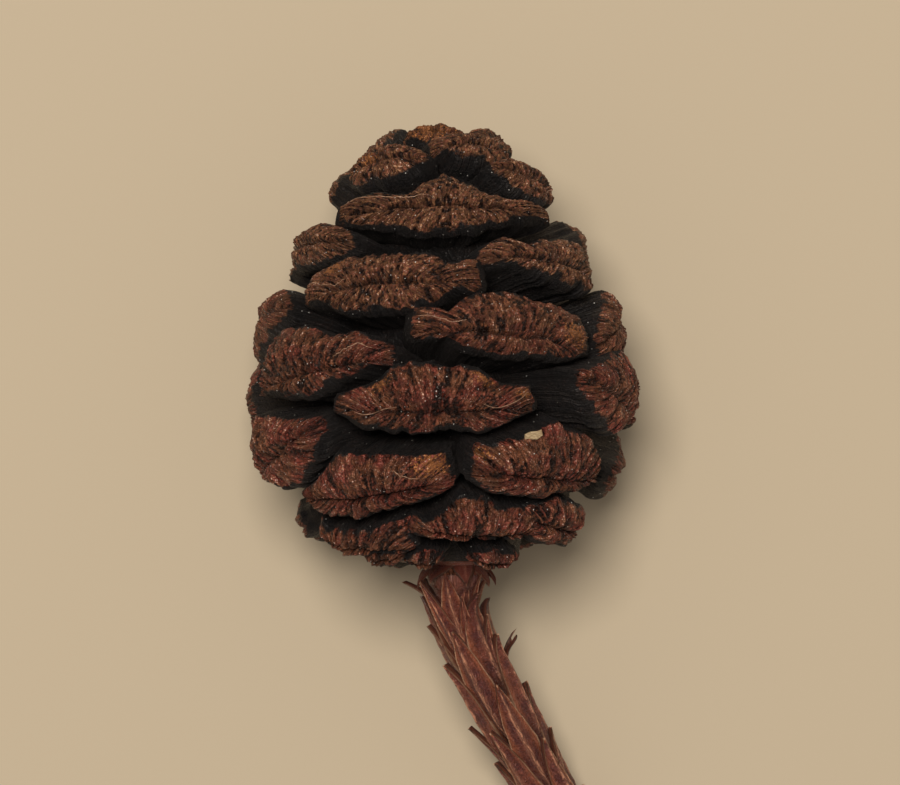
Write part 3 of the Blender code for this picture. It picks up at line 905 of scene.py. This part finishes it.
neck_y, neck_radius, neck_shift = -10.1 * mm, 1.65 * mm, 0.85 * mm
neck_length, core_top, core_share, least_core = 0.6 * mm, 12.2 * mm, 0.5, 1.3 * mm
core_rough, core_rows, core_sides, core_seed = 0.12 * mm, 90, 96, 90.0
bare_neck_y = -9.2 * mm
rows, lay, marks = [], [], []
for r in range(core_rows + 1):
    y = neck_y + (core_top - neck_y) * r / core_rows
    shift = neck_shift * max(0.0, y / neck_y) ** 3
    plain = max(least_core, core_share * outer_radius(y)) if y > neck_y + neck_length else neck_radius
    row = []
    for n in range(core_sides):
        turn = 2 * math.pi * n / core_sides
        arm = plain + core_rough * lump(math.cos(turn) * 5, math.sin(turn) * 5, y / mm * 0.8)
        row.append(Vector((shift + arm * math.cos(turn), y, axis_height + arm * math.sin(turn))))
        lay.append((turn * plain / mm, y / mm, core_seed))
        marks.append((0.5 if y < bare_neck_y else -3.0, 0.0, 0.5))
    rows.append(row)
vectors = {"lay": lay, "marks": marks, "tone": [(0.0, 0.0, 0.0)] * len(lay)}
core = tube_piece("core", rows, vectors, cone_wood, on_cone)
print("core faces", len(core.data.polygons))

# %% [markdown]
# ## The twig and its leaves
#
# The twig is covered by narrow pointed leaves that run down along it and overlap like shingles.
# Each leaf has a raised keel and thin pale edges, and its tip stands free. A leaf is a tube of
# rings with a keeled cross-section, which gives real edges that show from every side.

# %% The twig's line
twig_line = [Vector(p) * mm for p in (
    (0.85, -10.4, 10.1), (1.05, -12.2, 9.6), (1.75, -14.2, 8.65), (2.95, -16.6, 7.15),
    (4.25, -19.1, 5.45), (5.6, -21.5, 3.75), (7.1, -23.9, 2.15), (8.6, -26.1, 0.88))]


def smooth_line(points, share):
    """A point at a share of a curve that runs smoothly through all the points."""
    last = len(points) - 1
    place = min(max(share, 0.0), 1.0) * last
    n = min(int(place), last - 1)
    w = place - n
    p0, p1, p2, p3 = points[max(n - 1, 0)], points[n], points[n + 1], points[min(n + 2, last)]
    bend = (p0 * 2 - p1 * 5 + p2 * 4 - p3) * w**2
    twist = ((p1 - p2) * 3 + p3 - p0) * w**3
    return p1 + ((p2 - p0) * w + bend + twist) * 0.5


def twig_frame(share):
    """A point of the twig's line with the way along it, to its side and over it."""
    ahead = smooth_line(twig_line, min(share + 0.01, 1.0))
    behind = smooth_line(twig_line, max(share - 0.01, 0.0))
    along = (ahead - behind).normalized()
    side = Vector((0, 0, 1)).cross(along).normalized()
    return smooth_line(twig_line, share), along, side, along.cross(side).normalized()


plain_stem_radius, more_at_head, head_share = 0.95 * mm, 0.62 * mm, 0.16


def stem_radius(share):
    return plain_stem_radius + more_at_head * max(0.0, 1 - share / head_share) ** 2


line_points = [smooth_line(twig_line, n / 60) for n in range(61)]
twig_length = sum((b - a).length for a, b in zip(line_points, line_points[1:]))
print("twig length in mm", round(twig_length / mm, 1))

# %% [markdown]
# ## The finish of the twig
#
# The leaves are dried red-brown, purplish on their slopes and orange towards their thin pale
# edges. A painted highlight runs along each keel, and painted shade lies at their feet, under them, on the
# stem and near the cone.
# The tints follow the place across each leaf, which its points keep. A plain noise could not tell an edge
# from a keel.

# %% Finish: twig leaves
leaf_purple = (0.105, 0.024, 0.021, 1.0)
leaf_brown = (0.24, 0.062, 0.032, 1.0)
leaf_orange = (0.36, 0.105, 0.048, 1.0)
# Painted highlight along the keel
leaf_keel_highlight = (0.55, 0.23, 0.13, 1.0)
leaf_edge = (0.72, 0.42, 0.25, 1.0)
# Painted shade at the leaves' feet, under them, on the stem and near the cone
leaf_painted_shade = (0.02, 0.005, 0.004, 1.0)

twig_bark, tree, shader = new_finish("twig_bark")
lay = named_vector(tree, "lay")
edge_near, painted_shade_share, redness = parts_of(tree, named_vector(tree, "marks"))
fibres = use_group(tree, dry_fibres, Place=lay, Across=7.0, Along=0.9, Bend=0.25)
patches = use_group(tree, soft_patches, Place=lay, Size=0.9, Least=0.38, Most=0.6)["Mask"]
spots = use_group(tree, soft_patches, Place=lay, Size=0.11, Least=0.45, Most=0.58)["Mask"]
on_keel = between(tree, edge_near, 0.26, 0.0)
# Painted highlight: the keel lighter, more so on its fibre ridges
keel_highlight = calc(tree, "MULTIPLY", on_keel, calc(tree, "ADD", 0.3, fibres["Ridges"]), clamp=True)
colour = layered(
    tree, leaf_purple,
    (patches, 0.6, leaf_brown),
    (keel_highlight, 1.0, leaf_keel_highlight),
    (between(tree, edge_near, 0.45, 0.85), 0.8, leaf_orange),
    (between(tree, edge_near, 0.86, 0.98), 0.75, leaf_edge),
    (redness, 0.6, red_brown),
    # Painted shade where the marks ask for it
    (painted_shade_share, 1.0, leaf_painted_shade),
)
feed(tree, shader.inputs["Base Color"], colour)
feed(tree, shader.inputs["Roughness"], between(tree, spots, 0.0, 1.0, 0.45, 0.25))
shader.inputs["Specular IOR Level"].default_value = 0.6
shader.inputs["Specular Tint"].default_value = (1.0, 0.88, 0.8, 1.0)
granular = calc(tree, "ADD", fibres["Height"], both(tree, spots, 0.35))
bump(tree, shader, granular, 0.14 * mm, 1.0)
print("twig nodes", len(tree.nodes))

# %% [markdown]
# ## The shape of a leaf
#
# A leaf of the twig is a narrow blade with a raised keel over it and a thicker body under it. Flat
# cards would be lighter, but they have no edge and no keel, so a leaf is made of rings across it.
# The rising leaves and the bracts use the same ring.

# %% A ring of a leaf
leaf_length, leaf_half, leaf_keel, leaf_body = 8.0 * mm, 0.8 * mm, 0.62 * mm, 0.6 * mm
keel_height, keel_power, edge_flare, leaf_rough = 1.2, 1.25, 0.2 * mm, 0.05 * mm
leaf_across = (-1.0, -0.93, -0.75, -0.45, -0.15, -0.05, 0.05, 0.15, 0.45, 0.75, 0.93, 1.0)
leaf_under = (0.8, 0.4, 0.0, -0.4, -0.8)


def leaf_ring(spine, arm, sideways, half, keel, body, w, seed):
    """One ring of a leaf, with the numbers for its finish."""
    ring, lay, marks = [], [], []
    flare = edge_flare * smooth_step(0.2, 0.6, w)
    for x in leaf_across:
        rise = keel * keel_height * (1 - abs(x)) ** keel_power + flare * abs(x) ** 4
        rise += leaf_rough * lump(x * 3.0, w * 14.0, seed) * (1 - abs(x))
        ring.append(spine + sideways * half * x * (1 + 0.06 * lump(w * 9.0, seed, x * 4)) + arm * rise)
        lay.append((half * x / mm, w * leaf_length / mm, seed))
        marks.append((max(abs(x), smooth_step(0.92, 1.0, w)), 0.0, 0.0))
    for x in leaf_under:
        rooted, free = body * (1 - 0.5 * x * x), body * (0.5 - 0.3 * abs(x)) * (1.3 - w) + 0.03 * mm
        sunk = rooted if w < 0.55 else free
        ring.append(spine + sideways * half * x * 0.96 - arm * sunk)
        lay.append((half * x / mm, w * leaf_length / mm, seed + 5.0))
        # The underside takes painted shade
        marks.append((abs(x) * 0.7, 0.55, 0.0))
    return ring, lay, marks


print("points in a ring of a leaf", len(leaf_across) + len(leaf_under))

# %% [markdown]
# ### Leaves in a spiral
#
# The leaves follow one another round the twig, each turned by the golden angle from the last. Each
# is wide in its middle, narrow at its foot and sharp at its tip, where it lifts off the stem.

# %% Leaves
leaf_stations = (0.0, 0.2, 0.5, 0.7, 0.88, 1.0)
leaf_widths, leaf_keels = (0.35, 0.8, 1.0, 0.75, 0.36, 0.06), (0.35, 0.85, 1.0, 0.9, 0.6, 0.35)
leaf_sink, leaf_rise, tip_lift = 0.12 * mm, 0.22 * mm, 0.6 * mm
leaf_count, leaf_rings, golden_angle, first_angle = 23, 60, 137.5, 60.0
first_tip, tip_span, twig_end = 0.035, 0.895, 0.99


def leaf_piece(number):
    """A leaf that lies along the twig, cut off where the twig ends."""
    tip_share = first_tip + tip_span * number / (leaf_count - 1)
    reach = leaf_length / twig_length
    turn = math.radians(first_angle + golden_angle * number)
    first = max(0.0, 1 - (twig_end - 0.004 * (number % 7) - tip_share) / reach)
    rows, lay, marks = [], [], []
    for n in range(leaf_rings + 1):
        w = first + (1 - first) * n / leaf_rings
        share = tip_share + reach * (1 - w)
        centre, along, side, over = twig_frame(share)
        sway = 0.1 * lump(w * 1.5, number * 2.3, 1.0)
        arm = side * math.cos(turn + sway) + over * math.sin(turn + sway)
        half = leaf_half * float(numpy.interp(w, leaf_stations, leaf_widths))
        keel = leaf_keel * float(numpy.interp(w, leaf_stations, leaf_keels))
        lift = stem_radius(share) - leaf_sink + leaf_rise * w + tip_lift * w**5
        ring, ring_lay, ring_marks = leaf_ring(
            centre + arm * lift, arm, arm.cross(along), half, keel, leaf_body, w, 5.0 + 2.1 * number)
        rows.append(ring)
        lay += ring_lay
        # Painted shade at each leaf's foot, under the leaf before it, and near the cone, where the leaves
        # are also redder
        near_cone = 1 - smooth_step(0.02, 0.24, share)
        foot = 0.85 * (1 - smooth_step(0.0, 0.45, w))
        marks += [(e, max(f, foot, 0.5 * near_cone), max(r, near_cone)) for e, f, r in ring_marks]
    tube_piece(f"leaf_{number:02d}", rows, {"lay": lay, "marks": marks}, twig_bark, on_twig)


for number in range(leaf_count):
    leaf_piece(number)
print("leaves", leaf_count)

# %% [markdown]
# ## Leaves that rise to the cone
#
# Where the twig meets the cone, its last leaves rise as slender spikes against the foot of the
# cone. They are too uneven for a rule, so each is given by where it leaves the twig, the way it
# faces (90 is straight up) and its tip.

# %% Rising leaves
# Name: share along the twig, facing, tip in mm, half width in mm, redness, raggedness
rising_leaves = {
    "left_strap": (0.17, 168, (-1.87, -10.45, 10.4), 0.4, 0.5, 0),
    "left_spike": (0.33, 128, (-1.0, -10.4, 11.3), 0.62, 0.1, 0),
    "broad": (0.27, 104, (0.27, -9.9, 11.7), 0.85, 0.0, 0),
    "front_spike": (0.33, 84, (1.12, -11.2, 11.8), 0.5, 0.2, 0),
    "front_strip": (0.17, 74, (1.55, -9.7, 11.7), 0.36, 0.5, 0),
    "right_thin": (0.24, 50, (2.08, -10.05, 11.2), 0.3, 0.6, 0),
    "right_thin_two": (0.22, 22, (2.45, -10.1, 10.3), 0.3, 0.5, 0),
    "right_leaf": (0.44, 48, (2.4, -12.2, 10.7), 0.6, 0.1, 0),
    "left_low": (0.42, 163, (-0.55, -12.8, 9.5), 0.5, 0.4, 0),
    "ragged": (0.42, 2, (3.75, -13.7, 8.5), 0.55, 0.6, 1),
    "under_left": (0.2, 215, (-0.9, -10.2, 8.8), 0.5, 0.3, 0),
    "under": (0.2, 270, (0.8, -10.1, 8.2), 0.5, 0.3, 0),
    "under_right": (0.2, 320, (2.3, -10.2, 9.0), 0.5, 0.3, 0),
    "low_left": (0.8, 160, (1.65, -18.4, 6.5), 0.62, 0.1, 0),
    "low_right": (0.93, 25, (5.85, -18.5, 5.9), 0.55, 0.2, 0),
}


rising_stations, rising_widths, ragged_tip = (0, 0.25, 0.5, 0.8, 1), (0.7, 1.0, 0.85, 0.4, 0.06), 0.6
rising_rings, rising_keel, rising_body, rising_sink = 40, 0.64, 0.3 * mm, 0.25 * mm


def rising_leaf(name, values, seed):
    """A leaf that bends off the twig and ends at its own tip."""
    share, facing, tip, half, redness, ragged = values
    centre, along, side, over = twig_frame(share)
    turn = math.radians(facing)
    arm = side * math.cos(turn) + over * math.sin(turn)
    foot = centre + arm * (stem_radius(share) - rising_sink)
    tip = Vector(tip) * mm
    bend = foot - along * (tip - foot).length * 0.55 + arm * 0.15 * mm
    widths = rising_widths[:-1] + (rising_widths[-1] + ragged_tip * ragged,)
    rows, lay, marks = [], [], []
    for n in range(rising_rings + 1):
        w = n / rising_rings
        spine = foot * (1 - w) ** 2 + bend * 2 * w * (1 - w) + tip * w**2
        ahead = ((bend - foot) * (1 - w) + (tip - bend) * w).normalized()
        width = half * mm * float(numpy.interp(w, rising_stations, widths))
        keel = rising_keel * half * mm * (1 - 0.6 * w)
        sideways = arm.cross(-ahead).normalized()
        ring, ring_lay, ring_marks = leaf_ring(spine, arm, sideways, width, keel, rising_body, w, seed)
        if ragged and n == rising_rings:
            ring = [p + ahead * mm * (0.3 * math.sin(7.0 * k) + 0.2) for k, p in enumerate(ring)]
        rows.append(ring)
        lay += ring_lay
        # Painted shade at the foot of a rising leaf and on its underside
        marks += [(e, max(f, 0.6 * (1 - smooth_step(0.0, 0.3, w))), redness) for e, f, r in ring_marks]
    tube_piece(f"leaf_{name}", rows, {"lay": lay, "marks": marks}, twig_bark, on_twig)


for number, (name, values) in enumerate(rising_leaves.items()):
    rising_leaf(name, values, 80.0 + 1.7 * number)
print("rising leaves", len(rising_leaves))

# %% [markdown]
# ## The stem
#
# Under the leaves runs the stem itself. It shows only at its snapped end and in the gaps between
# leaves, so a plain tube along the twig's line does. Its first rings reach straight into the neck.

# %% Stem
stem_rings, straight_rings, straight_step = 116, 4, 0.25 * mm
stem_sides, stem_rough, stem_sink, stem_seed = 40, 0.04 * mm, 0.05 * mm, 70.0
rows, lay, marks = [], [], []
for r in range(stem_rings + straight_rings + 1):
    share = max(0.0, (r - straight_rings) / stem_rings)
    centre, along, side, over = twig_frame(share)
    if r <= straight_rings:
        side, over = Vector((1, 0, 0)), Vector((0, 0, 1))
        centre = centre + Vector((0, straight_step * (straight_rings - r), 0))
    ring = []
    for n in range(stem_sides):
        turn = 2 * math.pi * n / stem_sides
        arm = side * math.cos(turn) + over * math.sin(turn)
        rough = stem_rough * lump(math.cos(turn) * 3, math.sin(turn) * 3, share * 20)
        ring.append(centre + arm * (stem_radius(share) - stem_sink + rough))
        lay.append((turn * stem_radius(1.0) / mm, share * twig_length / mm, stem_seed))
        # A little painted shade on the stem, which shows only in the gaps between leaves
        marks.append((0.2, 0.25, 0.0))
    rows.append(ring)
stem = tube_piece("stem", rows, {"lay": lay, "marks": marks}, twig_bark, on_twig)
print("stem faces", len(stem.data.polygons))

# %% [markdown]
# ## The bracts at the foot
#
# A ring of small reddish pointed bracts closes the gap between the lowest scales and the twig.
# They are short leaves, so they use the leaf's rings, laid outwards from the neck.

# %% Bracts
bract_count, bract_rings, bract_length, bract_length_jitter = 9, 24, 1.9 * mm, 0.3
bract_half, bract_keel, bract_body, bract_seed = 0.8 * mm, 0.3 * mm, 0.25 * mm, 60.0
bract_from_neck, bract_inset, bract_aside = 0.6 * mm, 0.55, 0.5 * mm
for number in range(bract_count):
    turn = 2 * math.pi * (number + 0.35) / bract_count
    radial = Vector((math.sin(turn), 0, math.cos(turn)))
    side = Vector((math.cos(turn), 0, -math.sin(turn)))
    foot = Vector((neck_shift, neck_y + bract_from_neck, axis_height)) + radial * neck_radius * bract_inset
    reach = bract_length * (1 + bract_length_jitter * math.sin(5.0 * number))
    droop = Vector((0, (0.9 + 0.6 * math.sin(3.1 * number)) * mm, 0))
    aside = side * bract_aside * math.sin(2.3 * number)
    rows, lay, marks = [], [], []
    for n in range(bract_rings + 1):
        w = n / bract_rings
        spine = foot + radial * reach * (w - 0.25 * w * w) + (aside - droop) * w * w
        half = bract_half * (1 - 0.9 * w**1.5)
        ring, ring_lay, ring_marks = leaf_ring(
            spine, Vector((0, -1, 0)), side, half, bract_keel, bract_body, w, bract_seed + number)
        rows.append(ring)
        lay += ring_lay
        marks += [(e, 0.0, 1.0) for e, f, r in ring_marks]
    tube_piece(f"bract_{number}", rows, {"lay": lay, "marks": marks}, twig_bark, on_cone)
print("bracts", bract_count)

# %% [markdown]
# ## The finish of threads and a chip
#
# Dried threads of resin and plant fibre lie on some faces, and a chip of wood is caught on one.
# Both are plain dry fibre in two tints, so one small helper makes both finishes.

# %% Finishes: thread and chip
def small_finish(name, dark, light, roughness):
    material, tree, shader = new_finish(name)
    fibres = use_group(tree, dry_fibres, Place=place_in_mm(tree), Across=2.0, Along=6.0, Bend=0.3)
    feed(tree, shader.inputs["Base Color"], mix(tree, fibres["Height"], dark, light))
    shader.inputs["Roughness"].default_value = roughness
    bump(tree, shader, fibres["Height"], 0.03 * mm, 0.8)
    return material


thread_dark, thread_light = (0.13, 0.055, 0.03, 1.0), (0.42, 0.24, 0.14, 1.0)
chip_dark, chip_light = (0.2, 0.12, 0.05, 1.0), (0.5, 0.36, 0.2, 1.0)
dry_thread = small_finish("dry_thread", thread_dark, thread_light, 0.35)
wood_chip = small_finish("wood_chip", chip_dark, chip_light, 0.6)
print("small finishes", dry_thread.name, wood_chip.name)

# %% [markdown]
# ## Threads on the faces
#
# A thread is a thin tube that follows the face under it. It is given by the pair of the scale that
# it lies on, its places across and up that face, and its radius in mm. A bevelled curve would
# float over the pleats, so the places are looked up on the face itself.

# %% Threads
thread_sides, thread_rings, thread_step = 8, 48, 0.02
threads = {
    "thread_a": (0, [(-0.96, 0.8), (-0.86, 0.92), (-0.72, 0.75), (-0.55, 0.6), (-0.35, 0.5),
                     (-0.1, 0.22)], 0.022),
    "thread_b": (3, [(-0.97, 0.45), (-0.86, 0.5), (-0.72, 0.28), (-0.56, 0.14), (-0.42, 0.22)], 0.024),
    "thread_c": (6, [(0.4, 0.3), (0.5, 0.4), (0.62, 0.5), (0.7, 0.65), (0.82, 0.6)], 0.022),
    "thread_d": (5, [(-0.96, 0.6), (-0.85, 0.6), (-0.7, 0.5), (-0.62, 0.35), (-0.5, 0.3)], 0.02),
    "thread_e": (8, [(-0.82, 0.02), (-0.72, -0.2), (-0.6, -0.15), (-0.5, 0.05), (-0.35, 0.1)], 0.02),
    "thread_f": (8, [(0.5, 0.2), (0.62, 0.12), (0.75, 0.25), (0.88, 0.5), (0.97, 0.75)], 0.02),
    "thread_g": (11, [(0.4, 0.7), (0.55, 0.45), (0.7, 0.35)], 0.02),
}
for name, (pair, places, radius) in threads.items():
    scale = made_scales[2 * pairs.index(pair)]
    spots = [Vector((s, t, 0)) for s, t in places]
    rows = []
    for n in range(thread_rings + 1):
        at_end = n == thread_rings
        s, t, _ = smooth_line(spots, n / thread_rings)
        s2, t2, _ = smooth_line(spots, 0.96 if at_end else min(1.0, n / thread_rings + thread_step))
        here, there = face_point(scale, s, t)[0], face_point(scale, s2, t2)[0]
        ahead = (there - here).normalized() * (-1 if at_end else 1)
        over = scale["out"]
        sideways = ahead.cross(over).normalized()
        thin_ends = min(1.0, 0.25 + 4 * min(n, thread_rings - n) / thread_rings)
        thick = radius * mm * (1 + 0.3 * lump(n * 0.2, pair, 1.0)) * thin_ends
        centre = here + over * radius * mm * 0.7
        turns = [2 * math.pi * k / thread_sides for k in range(thread_sides)]
        rows.append([centre + (sideways * math.cos(a) + over * math.sin(a)) * thick for a in turns])
    tube_piece(name, rows, {}, dry_thread, on_cone)
print("threads", len(threads))

# %% [markdown]
# ## A chip of wood
#
# One flat pale chip is stuck to the upper edge of a face. It is a small slab with an uneven
# outline whose edges are slightly rounded, laid along the face.

# %% Chip
chip_pair, chip_across, chip_up, chip_lift = 10, -0.38, 0.95, 0.16 * mm
chip_outline = ((-0.5, -0.2), (-0.42, 0.16), (-0.1, 0.24), (0.3, 0.2), (0.48, 0.26), (0.5, -0.08),
                (0.2, -0.24), (-0.2, -0.18))
chip_layers = ((-0.06, 0.9), (-0.03, 1.0), (0.04, 1.0), (0.07, 0.9))
chip_sharp_angle = math.radians(30)
scale = made_scales[2 * pairs.index(chip_pair)]
middle = face_point(scale, chip_across, chip_up)[0] + scale["out"] * chip_lift
ahead = Vector((0.97, 0.2, -0.1)).normalized()
sideways = scale["out"].cross(ahead).normalized()
over = ahead.cross(sideways)
rows = []
for height, size in chip_layers:
    warp = [0.02 * math.sin(5 * x) for x, y in chip_outline]
    rows.append([middle + (ahead * x * size + sideways * y * size + over * (height + bend)) * mm
                 for (x, y), bend in zip(chip_outline, warp)])
chip = tube_piece("chip", rows, {}, wood_chip, on_cone)
chip.data.set_sharp_from_angle(angle=chip_sharp_angle)
print("chip faces", len(chip.data.polygons))
